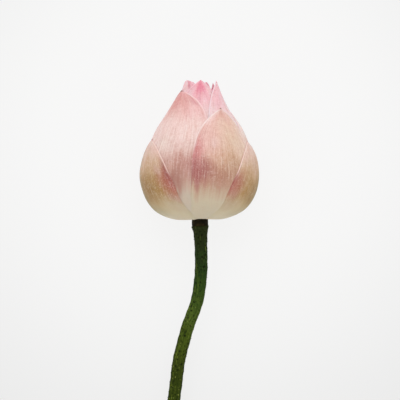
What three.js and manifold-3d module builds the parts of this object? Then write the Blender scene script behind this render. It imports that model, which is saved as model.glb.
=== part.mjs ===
// A cut lotus flower, still closed: overlapping petals on a short receptacle, at the top of a prickly stalk.
// The flower lies on its side on a level surface. It rests on a small flat spot of its back petal and on the
// lower edge of the stalk's cut end.
//
// Millimetres. Everything is built in the bud's own frame: the bud's axis is +Z, its base is at height 0, and
// its front is towards -Y. The group at the end lays that frame down: the front then faces up (+Z), the tip
// points along +Y, and the origin is the centre of the flat spot.
import * as THREE from "three";
import { mergeVertices } from "three/addons/utils/BufferGeometryUtils.js";
import Module from "manifold-3d";

const wasm = await Module();
wasm.setup();

// ---- driving dimensions ----

const STALK_LENGTH = 150; // from the bud's base to the cut
const STALK_RADIUS = 3.7;
const STALK_SIDES = 14;
const COLLAR_HEIGHT = 3.6; // brown ring between the stalk and the petals
const COLLAR_RADIUS = 5;
const RECEPTACLE_RADIUS = 4.9; // where the petals are attached
const CLEARANCE = 0.3; // between neighbours that touch

const PETAL_THICKNESS = 0.6;
const LAYER_STEP = 1.2; // from one petal's outer face to the next one's
const FLAT_DEPTH = 0.8; // how far the resting spot is pressed in

// Half outline of the closed bud, as radius and height, from the receptacle out and up to the petal tips.
const BUD_OUTLINE = [
  [RECEPTACLE_RADIUS + CLEARANCE, 1.8], [12, 0.4], [19.5, 2.3], [26.9, 6.2], [32, 12], [34.9, 20], [35.7, 29],
  [34, 38.5], [30.3, 46.5], [26, 54.5], [21, 62.5], [16.1, 71], [12.2, 79], [9.6, 87],
];
// The innermost petals follow the same outline up to their shoulders, and then close over the middle.
const HEART_OUTLINE = [...BUD_OUTLINE.slice(0, 10), [20.4, 62], [14.8, 69.5], [10, 77], [6.6, 85.5]];

// The petals, from the outermost to the innermost. Each has the azimuth of its middle in degrees (0 is the
// bud's front, 90 its right), the turn of that middle at the tip, the height of the tip, the half width, and
// how pointed it is: under 0.8 is blunt. A hidden petal has fewer columns.
const SHEATH_PETALS = [
  { name: "petal_outer_left", azimuth: -85, tipTurn: 8, tip: 48.4, halfWidth: 37, point: 0.7 },
  { name: "petal_outer_right", azimuth: 85, tipTurn: -14, tip: 47.4, halfWidth: 35, point: 0.72 },
  { name: "petal_outer_back", azimuth: 180, tip: 60, halfWidth: 34, point: 0.75, columns: 14, rests: true },
  { name: "petal_front_right", azimuth: 32, tipTurn: 12, tip: 66.4, halfWidth: 25, point: 0.66 },
  { name: "petal_front_left", azimuth: -50, tipTurn: -25, tip: 77.4, halfWidth: 37, point: 0.61 },
  { name: "petal_back_right", azimuth: 124, tip: 72, halfWidth: 34, point: 0.8 },
  { name: "petal_back_left", azimuth: -142, tip: 76, halfWidth: 35, point: 0.75 },
];
const CROWN_PETALS = [
  { name: "petal_crown_right", azimuth: 72, tip: 83.2, halfWidth: 33, point: 1.1 },
  { name: "petal_crown_front", azimuth: 2, tip: 83.4, halfWidth: 33, point: 0.76 },
  { name: "petal_crown_left", azimuth: -76, tip: 84, halfWidth: 33, point: 0.9 },
  { name: "petal_crown_back", azimuth: 178, tip: 82.5, halfWidth: 32, point: 0.9 },
  { name: "petal_crown_back_right", azimuth: 124, tip: 82, halfWidth: 30, point: 1, columns: 8 },
  { name: "petal_crown_back_left", azimuth: -118, tip: 83, halfWidth: 30, point: 1, columns: 8 },
  { name: "petal_inner_left", azimuth: -40, tip: 83.2, halfWidth: 28, point: 1, columns: 8 },
];
const HEART_PETALS = [
  { name: "petal_heart_right", azimuth: 52, tip: 82, halfWidth: 27, point: 1, columns: 8 },
  { name: "petal_heart_back", azimuth: 168, tip: 81, halfWidth: 26, point: 1, columns: 8 },
  { name: "petal_heart_left", azimuth: -76, tip: 80, halfWidth: 25, point: 1, columns: 8 },
];

// ---- materials ----

const finish = (color, roughness) => new THREE.MeshStandardMaterial({ color, roughness, metalness: 0 });
const blushedPetal = finish(0xdcb6a0, 0.55); // sheath petals: olive tan and cream with pink margins
const pinkPetal = finish(0xeeb4be, 0.5); // crown and heart petals
const stalkGreen = finish(0x3c4c18, 0.6);
const collarBrown = finish(0x3a2c12, 0.8);
const stamenYellow = finish(0xe0b84a, 0.7);

// ---- closed meshes and solids ----

// A closed geometry with only shared positions, and without the triangles that collapsed to a line.
function mergedGeometry(geometry) {
  const bare = geometry.clone();
  bare.deleteAttribute("normal");
  bare.deleteAttribute("uv");
  const merged = mergeVertices(bare, 1e-4);
  const index = Array.from(merged.index.array);
  const kept = [];
  for (let i = 0; i < index.length; i += 3) {
    const [a, b, c] = index.slice(i, i + 3);
    if (a !== b && b !== c && a !== c) kept.push(a, b, c);
  }
  merged.setIndex(kept);
  return merged;
}

function toSolid(geometry) {
  const merged = mergedGeometry(geometry);
  return new wasm.Manifold(new wasm.Mesh({
    numProp: 3,
    vertProperties: merged.attributes.position.array,
    triVerts: new Uint32Array(merged.index.array),
  }));
}

function toGeometry(solid) {
  const mesh = solid.getMesh();
  const geometry = new THREE.BufferGeometry();
  geometry.setAttribute("position", new THREE.BufferAttribute(mesh.vertProperties, 3));
  geometry.setIndex(new THREE.BufferAttribute(mesh.triVerts, 1));
  geometry.computeVertexNormals();
  return geometry;
}

function namedMesh(name, geometry, material) {
  const mesh = new THREE.Mesh(geometry, material);
  mesh.name = name;
  return mesh;
}

// ---- the bud's outline ----

// Radius, height and outward normal of an outline at a distance along it from the receptacle.
function outlineOf(points) {
  const curve = new THREE.SplineCurve(points.map(([r, h]) => new THREE.Vector2(r, h)));
  curve.arcLengthDivisions = 600;
  const length = curve.getLength();
  const at = (s) => {
    const share = THREE.MathUtils.clamp(s / length, 0, 1);
    const place = curve.getPointAt(share);
    const tangent = curve.getTangentAt(share);
    return { r: place.x, h: place.y, normalR: tangent.y, normalH: -tangent.x };
  };
  const alongAt = (height) => {
    let low = length / 3; // past the underside, where the height only grows
    let high = length;
    for (let i = 0; i < 40; i++) {
      const middle = (low + high) / 2;
      if (at(middle).h < height) low = middle;
      else high = middle;
    }
    return high;
  };
  return { at, alongAt, length };
}

const budOutline = outlineOf(BUD_OUTLINE);

// ---- how the flower lies ----

// World height of a point of the bud's frame, without the lift, when the tip is raised by tilt.
const heightWhenLying = (y, z, tilt) => z * Math.sin(tilt) - y * Math.cos(tilt);

// The lowest point of the bud's outline when it lies on its back.
function lowestOfBud(tilt) {
  let lowest = { height: Infinity };
  for (let s = 0; s < budOutline.length; s += 0.1) {
    const { r, h } = budOutline.at(s);
    const height = heightWhenLying(r, h, tilt);
    if (height < lowest.height) lowest = { height, r, h };
  }
  return lowest;
}

// The tilt at which the pressed bud and the lower edge of the cut end touch the same level.
function restingTilt() {
  let low = 0;
  let high = Math.PI / 6;
  for (let i = 0; i < 30; i++) {
    const middle = (low + high) / 2;
    const bud = lowestOfBud(middle).height + FLAT_DEPTH;
    const end = heightWhenLying(STALK_RADIUS, -STALK_LENGTH, middle);
    if (end > bud) low = middle;
    else high = middle;
  }
  return low;
}

const tilt = restingTilt();
const restSpot = lowestOfBud(tilt);
const lift = -(restSpot.height + FLAT_DEPTH);
const up = new THREE.Vector3(0, -Math.cos(tilt), Math.sin(tilt)); // the world's up in the bud's frame

// Presses a point that lies under the surface, or too near it for its depth below the skin, up to its level.
function pressed(point, depth) {
  const short = depth - (point.dot(up) + lift);
  return short > 0 ? point.addScaledVector(up, short) : point;
}

// ---- petals ----

const COLUMNS = 12; // across a petal, unless it says otherwise
const RINGS = [0, 5, 11, 17, 23, 29, 36, 45, 55, 66, 77, 88, 98]; // distances along the outline, for all
const TIP_RINGS = [6, 2.2]; // the last two rings, as distances from the tip
const SHORTEST_STEP = 4; // between the common rings and those of the tip
const CLAW = 0.02; // share of the length by which the narrow claw is cut short
const WIDEST_ANGLE = THREE.MathUtils.degToRad(84);
const ANGLE_POWER = 6; // how sharply the half angle bends to the widest one
const TURN_POWER = 8; // how late the turn of the tip sets in
const FADE = [1, 20]; // distances from an outer petal's rim where its print on the ones below fades out

function withOutline(petals, outline, material) {
  return petals.map((petal) => ({ ...petal, outline, material, length: outline.alongAt(petal.tip) }));
}

const petals = [
  ...withOutline(SHEATH_PETALS, budOutline, blushedPetal),
  ...withOutline(CROWN_PETALS, budOutline, pinkPetal),
  ...withOutline(HEART_PETALS, outlineOf(HEART_OUTLINE), pinkPetal),
];

// Half the angle that a petal spans at a distance s along the outline.
function halfAngle(petal, s) {
  const share = s / petal.length;
  if (share >= 1) return 0;
  const width = petal.halfWidth * Math.sin(Math.PI * (CLAW + (1 - CLAW) * share)) ** petal.point;
  const angle = width / petal.outline.at(s).r;
  return angle / (1 + (angle / WIDEST_ANGLE) ** ANGLE_POWER) ** (1 / ANGLE_POWER);
}

// Azimuth of a petal's middle line, which may turn a little towards the tip.
function middleAzimuth(petal, s) {
  const turn = (petal.tipTurn ?? 0) * Math.min(1, s / petal.length) ** TURN_POWER;
  return THREE.MathUtils.degToRad(petal.azimuth + turn);
}

// 1 under a petal, fading to 0 past its rim.
function cover(petal, azimuth, s) {
  const turn = azimuth - middleAzimuth(petal, s);
  const apart = Math.abs(Math.atan2(Math.sin(turn), Math.cos(turn))) - halfAngle(petal, s);
  const across = apart * petal.outline.at(s).r;
  const past = Math.max(0, s - petal.length);
  const distance = past > 0 ? Math.hypot(across, past) : across;
  return 1 - THREE.MathUtils.smoothstep(distance, FADE[0], FADE[1]);
}

// Point of a petal at u across (-1 to 1) and s along, sunk below the bud's skin by the petals over it.
function petalPoint(order, u, s, sunk) {
  const petal = petals[order];
  const azimuth = middleAzimuth(petal, s) + u * halfAngle(petal, s);
  const above = petals.slice(0, order).reduce((sum, outer) => sum + cover(outer, azimuth, s), 0);
  const depth = above * LAYER_STEP + sunk;
  const { r, h, normalR, normalH } = petal.outline.at(s);
  const radius = r - normalR * depth;
  const height = h - normalH * depth;
  const point = new THREE.Vector3(radius * Math.sin(azimuth), -radius * Math.cos(azimuth), height);
  return pressed(point, petal.rests ? sunk : depth);
}

// A petal as a closed blade: an outer and an inner face on the same grid, split alike, joined round the rim.
function petalGeometry(order) {
  const { length, columns = COLUMNS } = petals[order];
  const lastRing = length - TIP_RINGS[0] - SHORTEST_STEP;
  const rings = [...RINGS.filter((s) => s < lastRing), ...TIP_RINGS.map((back) => length - back)];
  const positions = [];
  const index = [];
  const put = (point) => positions.push(point.x, point.y, point.z) / 3 - 1;
  const faces = [0, PETAL_THICKNESS].map((sunk) => {
    const grid = rings.map((s) => {
      const row = [];
      for (let j = 0; j <= columns; j++) row.push(put(petalPoint(order, (2 * j) / columns - 1, s, sunk)));
      return row;
    });
    grid.push(Array(columns + 1).fill(put(petalPoint(order, 0, length, sunk))));
    return grid;
  });
  const triangle = (a, b, c) => {
    if (a !== b && b !== c && a !== c) index.push(a, b, c);
  };
  const quad = (a, b, c, d) => {
    triangle(a, b, c);
    triangle(a, c, d);
  };
  const [outer, inner] = faces;
  for (let i = 0; i < rings.length; i++) {
    for (let j = 0; j < columns; j++) {
      quad(outer[i][j], outer[i][j + 1], outer[i + 1][j + 1], outer[i + 1][j]);
      const [a, b, c, d] = [inner[i][j], inner[i][j + 1], inner[i + 1][j + 1], inner[i + 1][j]];
      triangle(a, c, b);
      triangle(a, d, c);
    }
    quad(inner[i][0], outer[i][0], outer[i + 1][0], inner[i + 1][0]);
    quad(outer[i][columns], inner[i][columns], inner[i + 1][columns], outer[i + 1][columns]);
  }
  for (let j = 0; j < columns; j++) quad(inner[0][j], inner[0][j + 1], outer[0][j + 1], outer[0][j]);
  const geometry = new THREE.BufferGeometry();
  geometry.setAttribute("position", new THREE.Float32BufferAttribute(positions, 3));
  geometry.setIndex(index);
  geometry.computeVertexNormals();
  return geometry;
}

// ---- stalk ----

// Centreline of the stalk, from under the collar to the cut: an S in the plane of the bud's front.
const stalkLine = new THREE.CatmullRomCurve3([
  [0, -COLLAR_HEIGHT - CLEARANCE], [0, -8], [0.4, -19], [0.1, -34], [-2.4, -48], [-8.4, -66.5], [-12.6, -84],
  [-15.2, -103], [-17.4, -126], [-18.6, -STALK_LENGTH],
].map(([x, z]) => new THREE.Vector3(x, 0, z)));
const STALK_STEPS = 44;
const FLARE = COLLAR_RADIUS - STALK_RADIUS; // the stalk widens to the collar
const FLARE_LENGTH = 3;

const PRICKLES = 84;
const PRICKLE_HEIGHT = 0.55;
const PRICKLE_ROOT = 0.25; // sunk into the stalk
const PRICKLE_RADIUS = 0.42;
const PRICKLE_LEAN = 0.35; // towards the bud, per unit of height
const PRICKLE_FREE = 3; // places left bare at the top of the spiral
const GOLDEN_ANGLE = Math.PI * (3 - Math.sqrt(5));

const CANALS = 7; // air canals round a small middle one, open at the cut
const CANAL_RADIUS = 0.62;
const CANAL_RING = 2.1;
const CANAL_DEPTH = 9;

const stalkRadius = (distance) => STALK_RADIUS + FLARE * Math.exp(-distance / FLARE_LENGTH);

// Place, direction and the two side directions of the stalk at a share of its length.
function stalkFrame(share) {
  const place = stalkLine.getPointAt(share);
  const along = stalkLine.getTangentAt(share);
  const back = new THREE.Vector3(0, 1, 0);
  const side = new THREE.Vector3().crossVectors(back, along).normalize();
  return { place, along, back, side };
}

// A point beside the stalk's centreline, at an angle round it and a distance out.
function besideStalk(share, angle, distance) {
  const { place, back, side } = stalkFrame(share);
  place.addScaledVector(side, distance * Math.cos(angle));
  return place.addScaledVector(back, distance * Math.sin(angle));
}

// A straight cylinder bent along the centreline, with the stalk's radius at each step.
function stalkTube() {
  const length = stalkLine.getLength();
  const tube = new THREE.CylinderGeometry(1, 1, 1, STALK_SIDES, STALK_STEPS);
  const position = tube.attributes.position;
  for (let i = 0; i < position.count; i++) {
    const share = 0.5 - position.getY(i);
    const out = Math.hypot(position.getX(i), position.getZ(i));
    const angle = Math.atan2(position.getZ(i), position.getX(i));
    const point = besideStalk(share, angle, out * stalkRadius(share * length));
    position.setXYZ(i, point.x, point.y, point.z);
  }
  return toSolid(tube);
}

// Prickles stand in a golden-angle spiral, evenly down the stalk, each a small cone leaning to the bud.
function prickleSolids() {
  const stalkLength = stalkLine.getLength();
  return Array.from({ length: PRICKLES }, (_, i) => {
    const share = (i + PRICKLE_FREE) / (PRICKLES + PRICKLE_FREE + 1);
    const angle = i * GOLDEN_ANGLE;
    const radius = stalkRadius(share * stalkLength);
    const { along } = stalkFrame(share);
    const foot = besideStalk(share, angle, radius - PRICKLE_ROOT);
    const out = besideStalk(share, angle, radius).sub(foot).normalize();
    out.addScaledVector(along, -PRICKLE_LEAN).normalize();
    const length = PRICKLE_HEIGHT + PRICKLE_ROOT;
    const cone = new THREE.ConeGeometry(PRICKLE_RADIUS, length, 4);
    cone.translate(0, length / 2, 0);
    cone.applyQuaternion(new THREE.Quaternion().setFromUnitVectors(new THREE.Vector3(0, 1, 0), out));
    cone.translate(foot.x, foot.y, foot.z);
    return toSolid(cone);
  });
}

// The air canals are short blind bores in the cut end.
function canalSolids() {
  const { along } = stalkFrame(1);
  const turn = new THREE.Quaternion().setFromUnitVectors(new THREE.Vector3(0, 1, 0), along);
  return Array.from({ length: CANALS + 1 }, (_, i) => {
    const ring = i < CANALS ? CANAL_RING : 0;
    const angle = (i * 2 * Math.PI) / CANALS;
    const bore = new THREE.CylinderGeometry(CANAL_RADIUS, CANAL_RADIUS, 2 * CANAL_DEPTH, 8);
    bore.applyQuaternion(turn);
    const centre = besideStalk(1, angle, ring);
    bore.translate(centre.x, centre.y, centre.z);
    return toSolid(bore);
  });
}

function stalkGeometry() {
  let solid = stalkTube();
  for (const prickle of prickleSolids()) solid = solid.add(prickle);
  for (const canal of canalSolids()) solid = solid.subtract(canal);
  return toGeometry(solid);
}

// ---- receptacle and stamens ----

const POD_FOOT = 22; // height where the young seed pod starts, above the petals' claws
const POD_TOP = 40;
const POD_FOOT_RADIUS = 5.7;
const POD_RADIUS = 9.5;
const EDGE = 0.4; // rounding of the collar's and the pod's edges
const CARPELS = 8; // in a ring on the pod's top, round a middle one
const CARPEL_RADIUS = 1.1;
const CARPEL_RING = 5.9;

const STAMENS = 36;
const STAMEN_LENGTHS = [17, 18.5, 20]; // in turn round the ring
const STAMEN_LEAN = 0.3; // outwards, in radians
const FILAMENT_RADIUS = 0.4;
const ANTHER_RADIUS = 0.55;
const STAMEN_RING_WIDTH = 2.2;
const STAMEN_RING_HEIGHT = 1;

// A profile of radius and height turned round the bud's axis.
function turned(profile, sides) {
  const lathe = new THREE.LatheGeometry(profile.map(([r, h]) => new THREE.Vector2(r, h)), sides);
  return toSolid(lathe.rotateX(Math.PI / 2));
}

// The receptacle: the collar, the neck that carries the petals, and the young seed pod with its carpels.
function receptacleGeometry() {
  let solid = turned([
    [0, -COLLAR_HEIGHT], [COLLAR_RADIUS - EDGE, -COLLAR_HEIGHT], [COLLAR_RADIUS, -COLLAR_HEIGHT + EDGE],
    [COLLAR_RADIUS, -EDGE], [RECEPTACLE_RADIUS, 0], [RECEPTACLE_RADIUS, POD_FOOT - 2 * EDGE],
    [POD_FOOT_RADIUS, POD_FOOT], [POD_RADIUS, POD_TOP - 2 * EDGE], [POD_RADIUS - EDGE, POD_TOP], [0, POD_TOP],
  ], 20);
  for (let i = 0; i <= CARPELS; i++) {
    const ring = i < CARPELS ? CARPEL_RING : 0;
    const angle = (i * 2 * Math.PI) / CARPELS;
    const carpel = new THREE.SphereGeometry(CARPEL_RADIUS, 6, 4);
    carpel.translate(ring * Math.cos(angle), ring * Math.sin(angle), POD_TOP);
    solid = solid.add(toSolid(carpel));
  }
  return toGeometry(solid);
}

// The stamens: slim three-sided filaments, thicker at the anther, fused to a ring at the seed pod's foot.
function stamenGeometry() {
  const inside = POD_FOOT_RADIUS + CLEARANCE;
  const outside = inside + STAMEN_RING_WIDTH;
  const low = POD_FOOT - 2 * STAMEN_RING_HEIGHT;
  const high = POD_FOOT - STAMEN_RING_HEIGHT;
  const section = [[inside, low], [outside, low], [outside, high], [inside, high], [inside, low]];
  let solid = turned(section, STAMENS);
  for (let i = 0; i < STAMENS; i++) {
    const length = STAMEN_LENGTHS[i % STAMEN_LENGTHS.length];
    const stamen = new THREE.CylinderGeometry(ANTHER_RADIUS, FILAMENT_RADIUS, length, 3);
    stamen.rotateX(Math.PI / 2);
    stamen.translate(0, 0, length / 2);
    stamen.rotateY(STAMEN_LEAN);
    stamen.translate((inside + outside) / 2, 0, (low + high) / 2);
    stamen.rotateZ((i * 2 * Math.PI) / STAMENS);
    solid = solid.add(toSolid(stamen));
  }
  return toGeometry(solid);
}

// ---- the flower, laid down ----

const flower = new THREE.Group();
const bud = new THREE.Group();
bud.rotation.x = tilt - Math.PI / 2;
bud.position.set(0, -(restSpot.r * Math.sin(tilt) + restSpot.h * Math.cos(tilt)), lift);
flower.add(bud);

bud.add(namedMesh("stem", stalkGeometry(), stalkGreen));
bud.add(namedMesh("receptacle", receptacleGeometry(), collarBrown));
bud.add(namedMesh("stamens", stamenGeometry(), stamenYellow));
petals.forEach(({ name, material }, order) => bud.add(namedMesh(name, petalGeometry(order), material)));

export default flower;
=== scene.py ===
import math

import bpy
import numpy as np
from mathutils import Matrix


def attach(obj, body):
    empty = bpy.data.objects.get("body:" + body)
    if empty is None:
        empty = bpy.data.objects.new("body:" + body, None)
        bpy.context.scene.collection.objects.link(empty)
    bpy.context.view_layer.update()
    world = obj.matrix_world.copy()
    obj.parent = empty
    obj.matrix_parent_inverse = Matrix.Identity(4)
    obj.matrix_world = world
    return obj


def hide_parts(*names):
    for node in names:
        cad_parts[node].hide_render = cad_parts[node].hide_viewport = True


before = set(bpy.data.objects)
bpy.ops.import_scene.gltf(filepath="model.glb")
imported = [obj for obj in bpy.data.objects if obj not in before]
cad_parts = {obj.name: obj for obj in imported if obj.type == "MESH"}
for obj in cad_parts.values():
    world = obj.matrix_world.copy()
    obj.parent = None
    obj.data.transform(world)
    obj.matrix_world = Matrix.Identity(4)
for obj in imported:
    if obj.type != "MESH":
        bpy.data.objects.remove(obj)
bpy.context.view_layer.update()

# ---- how the flower lies, and the camera ----
# The flower rests on a small spot of its back petal, pressed flat by its weight, and on the lower edge of the
# stalk's cut end, so the tip is a little raised. The camera looks straight down on the front of the bud.

MM = 0.001

STALK_LENGTH = 150  # from the bud's base to the cut
STALK_RADIUS = 3.7
RECEPTACLE_RADIUS = 4.9
CLEARANCE = 0.3
FLAT_DEPTH = 0.8  # how far the resting spot is pressed in
FLOOR_BLEND = 0.15  # softness of the edge of the pressed spot
TILT_HALVINGS = 30

# Half outline of the closed bud, as radius and height, from the receptacle out and up to the petal tips.
BUD_OUTLINE = [
    [RECEPTACLE_RADIUS + CLEARANCE, 1.8], [12, 0.4], [19.5, 2.3], [26.9, 6.2], [32, 12], [34.9, 20],
    [35.7, 29], [34, 38.5], [30.3, 46.5], [26, 54.5], [20.8, 62.5], [15.5, 71], [11.1, 79], [8.3, 87],
]


def smooth_line(points, per_span=80):
    """The smooth line through some points: on each span a cubic whose slope at either end is half the step
    from the point before that end to the point after it. The first and last points count twice."""
    points = np.asarray(points, float)
    padded = np.vstack([points[:1], points, points[-1:]])
    before, start, end, after = (padded[i:len(padded) - 3 + i, None] for i in range(4))
    t = np.linspace(0, 1, per_span, endpoint=False)[:, None]
    spans = (
        (2 * t**3 - 3 * t**2 + 1) * start + (t**3 - 2 * t**2 + t) * (end - before) / 2
        + (3 * t**2 - 2 * t**3) * end + (t**3 - t**2) * (after - start) / 2
    )
    return np.vstack([spans.reshape(-1, points.shape[1]), points[-1:]])


def distances_along(line):
    """How far along a line each of its points lies: the running sum of the steps between them."""
    return np.concatenate([[0], np.cumsum(np.linalg.norm(np.diff(line, axis=0), axis=1))])


def outline_of(points):
    """An outline as arrays by name: the distance along it, its radius and height, and its outward normal,
    which is its direction turned by a quarter."""
    line = smooth_line(points)
    along = distances_along(line)
    direction = np.gradient(line, along, axis=0)
    direction /= np.linalg.norm(direction, axis=1, keepdims=True)
    return {
        "along": along, "radius": line[:, 0], "height": line[:, 1],
        "normal_radius": direction[:, 1], "normal_height": -direction[:, 0],
    }


bud_outline = outline_of(BUD_OUTLINE)


def resting_tilt():
    """The tilt at which the pressed bud and the lower edge of the cut end touch the same level, by halving.
    A point at radius r and height h on the back lies h sin(tilt) - r cos(tilt) high."""
    low, high = 0, math.pi / 6
    for _ in range(TILT_HALVINGS):
        middle = (low + high) / 2
        bud = np.min(bud_outline["height"] * math.sin(middle) - bud_outline["radius"] * math.cos(middle))
        end = -STALK_LENGTH * math.sin(middle) - STALK_RADIUS * math.cos(middle)
        low, high = (middle, high) if end > bud + FLAT_DEPTH else (low, middle)
    return low


tilt = resting_tilt()
back_heights = bud_outline["height"] * math.sin(tilt) - bud_outline["radius"] * math.cos(tilt)
rest_spot = int(np.argmin(back_heights))
lift = -(back_heights[rest_spot] + FLAT_DEPTH)
rest_ahead = (
    bud_outline["radius"][rest_spot] * math.sin(tilt) + bud_outline["height"][rest_spot] * math.cos(tilt)
)


def kept_above(height, level):
    """Heights kept above a level: a height d over it becomes (d + sqrt(d ** 2 + FLOOR_BLEND ** 2)) / 2."""
    over = height - level
    return level + (over + np.sqrt(over**2 + FLOOR_BLEND**2)) / 2


def lay_down(points):
    """Points of the bud's frame in the row's frame, both in millimetres: turned about X until the front looks
    up and the tip is raised by the tilt, then moved until the resting spot's centre is the origin."""
    x, y, z = np.moveaxis(np.asarray(points, float), -1, 0)
    ahead = y * math.sin(tilt) + z * math.cos(tilt) - rest_ahead
    up = -y * math.cos(tilt) + z * math.sin(tilt) + lift
    return np.stack([x, ahead, up], -1)


VIEW_HEIGHT = 12  # the height on the bud's axis that the camera looks at
VIEW_DISTANCE = 667

camera_lens = bpy.data.cameras.new("camera")
camera_lens.lens = 100
camera_lens.sensor_width = 36
camera = bpy.data.objects.new("camera", camera_lens)
camera.location = lay_down((0, -VIEW_DISTANCE, VIEW_HEIGHT)) * MM
camera.rotation_euler = (tilt, 0, 0)
bpy.context.scene.collection.objects.link(camera)
bpy.context.scene.camera = camera

# ---- floor and light ----
# A plain pale table top that glows a little, as a light table does, under very soft studio light: white walls
# all round, and one large soft box beyond the flower's tip.

FLOOR_SIDE = 6.0  # metres, as this section's other sizes and places
FLOOR_COLOUR = "5c5c5b"
TABLE_GLOW = (0.677, 0.821)  # radiance of the table's own light, far off and at its middle
TABLE_GLOW_MIDDLE = (0.0, 0.04, 0.0)
TABLE_GLOW_REACH = (0.075, 0.3)  # distances from that middle between which it falls off
WALL_LIGHT = 0.8
SOFT_BOX_PLACE = (0.0, 0.8, 1.5)
SOFT_BOX_SIDE = 1.6
SOFT_BOX_POWER = 9.8  # watts


def colour(code):
    """Linear colour of a hex code: a channel c over 0.04 becomes ((c + 0.055) / 1.055) ** 2.4."""
    channels = [int(code[i:i + 2], 16) / 255 for i in (0, 2, 4)]
    return (*(c / 12.92 if c <= 0.04045 else ((c + 0.055) / 1.055) ** 2.4 for c in channels), 1.0)


def new_material(name):
    """An empty material, and the function that adds one shader node to it. That function's inputs are
    numbers, colours or other nodes' outputs, by socket name or place, and it returns the node's outputs."""
    material = bpy.data.materials.new(name)
    material.use_nodes = True
    tree = material.node_tree
    tree.nodes.clear()

    def add(kind, inputs=None, **settings):
        node = tree.nodes.new("ShaderNode" + kind)
        for key, value in settings.items():
            setattr(node, key, value)
        for key, value in (inputs or {}).items():
            if isinstance(value, bpy.types.NodeSocket):
                tree.links.new(value, node.inputs[key])
            else:
                node.inputs[key].default_value = value
        return node.outputs

    return material, add


def plus(add, first, second):
    """The sum of two values."""
    return add("Math", {0: first, 1: second}, operation="ADD")[0]


def times(add, first, second):
    """The product of two values."""
    return add("Math", {0: first, 1: second}, operation="MULTIPLY")[0]


def faded(add, value, start, end, high=1.0, low=0.0):
    """value mapped smoothly from start..end to low..high, and held there outside."""
    inputs = {"Value": value, "From Min": start, "From Max": end, "To Min": low, "To Max": high}
    return add("MapRange", inputs, interpolation_type="SMOOTHSTEP")[0]


def mixed(add, share, first, second, how="MIX"):
    """Two colours mixed by a share."""
    return add("Mix", {0: share, 6: first, 7: second}, data_type="RGBA", blend_type=how)[2]


def ramp(add, value, stops):
    """The colour at a value between stops, each a position and a hex code."""
    node = add("ValToRGB", {0: value})[0].node
    elements = node.color_ramp.elements
    elements.remove(elements[1])
    elements[0].position, elements[0].color = stops[0][0], colour(stops[0][1])
    for position, code in stops[1:]:
        elements.new(position).color = colour(code)
    return node.outputs[0]


def noise(add, place, scale, detail=2.0, roughness=0.5):
    """Soft noise from 0 to 1 round 0.5."""
    inputs = {"Vector": place, "Scale": scale, "Detail": detail, "Roughness": roughness}
    return add("TexNoise", inputs)[0]


def field(add, name):
    """A mesh's own number for each point, by its name."""
    return add("Attribute", attribute_name=name)["Fac"]


def surface(add, skin, roughness, specular, relief, strength, depth, **more):
    """Ends a material: a principled shader with a skin colour and a bump of the relief, its depth in
    millimetres, and the material's output. more holds further inputs of the shader, by socket name."""
    normal = add("Bump", {"Height": relief, "Strength": strength, "Distance": depth * MM})[0]
    inputs = {"Base Color": skin, "Roughness": roughness, "Specular IOR Level": specular, "Normal": normal}
    add("OutputMaterial", {"Surface": add("BsdfPrincipled", {**inputs, **more})[0]})


floor_mesh = bpy.data.meshes.new("floor")
floor_corners = np.array([(-1, -1, 0), (1, -1, 0), (1, 1, 0), (-1, 1, 0)]) * FLOOR_SIDE / 2
floor_mesh.from_pydata(floor_corners.tolist(), [], [(0, 1, 2, 3)])
floor = bpy.data.objects.new("floor", floor_mesh)
bpy.context.scene.collection.objects.link(floor)
floor_material, add = new_material("pale_floor")
coords = add("TexCoord")["Object"]
from_middle = add("VectorMath", {0: coords, 1: TABLE_GLOW_MIDDLE}, operation="DISTANCE")["Value"]
glow = faded(add, from_middle, *TABLE_GLOW_REACH, *TABLE_GLOW)
surface(add, colour(FLOOR_COLOUR), 0.9, 0.05, noise(add, coords, 900.0), 0.05, 0.1,
        **{"Emission Color": colour("ffffff"), "Emission Strength": glow})
floor_mesh.materials.append(floor_material)

world = bpy.data.worlds.new("white_walls")
world.use_nodes = True
walls = world.node_tree.nodes["Background"].inputs
walls["Color"].default_value = (1, 1, 1, 1)
walls["Strength"].default_value = WALL_LIGHT
bpy.context.scene.world = world
bpy.context.scene.view_settings.view_transform = "Standard"

soft_box_light = bpy.data.lights.new("soft_box", "AREA")
soft_box_light.shape = "SQUARE"
soft_box_light.size = SOFT_BOX_SIDE
soft_box_light.energy = SOFT_BOX_POWER
soft_box = bpy.data.objects.new("soft_box", soft_box_light)
soft_box.location = SOFT_BOX_PLACE
soft_box.rotation_euler = (-math.atan2(SOFT_BOX_PLACE[1], SOFT_BOX_PLACE[2]), 0, 0)
bpy.context.scene.collection.objects.link(soft_box)

# ---- stem ----
# The long leafless stalk of the flower: a spongy green cane with a tough rind, faint ribs and short prickles,
# and air canals that open at the cut. It widens to the collar under the bud, and grew in one with it.

COLLAR_HEIGHT = 3.6
COLLAR_RADIUS = 5.0
FLARE_LENGTH = 3.5
LIP_RADIUS = 5.5  # of the stalk just under the collar
LIP_ROUNDING = 0.3
RIND = 0.08  # the tough skin over the plain radius
STALK_SEAT = 0.3  # how far the stalk's top reaches into the collar
STALK_ROWS = 360
STALK_COLUMNS = 96

# Centreline from under the collar to the cut, as side and height: an S in the plane of the bud's front.
STALK_LINE = [
    [0, -COLLAR_HEIGHT + STALK_SEAT], [0.27, -8], [0.74, -19], [0.41, -34], [-1.65, -48], [-8.02, -66.5],
    [-12.45, -84], [-15, -103], [-17.3, -126], [-18.6, -STALK_LENGTH],
]

RIBS = [(7, 0.035, 0.4), (12, 0.03, 1.7), (19, 0.02, 3.1)]  # number round the stalk, height, phase
RIB_TURN = 40  # distance along the stalk in which the ribs' phase turns by one radian
# Lumps: length, height, number round, phase.
LUMPS = [(5.3, 0.05, 1, 0.3), (8.9, 0.06, 2, 2.0), (23.0, 0.08, 1, 4.1)]

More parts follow.
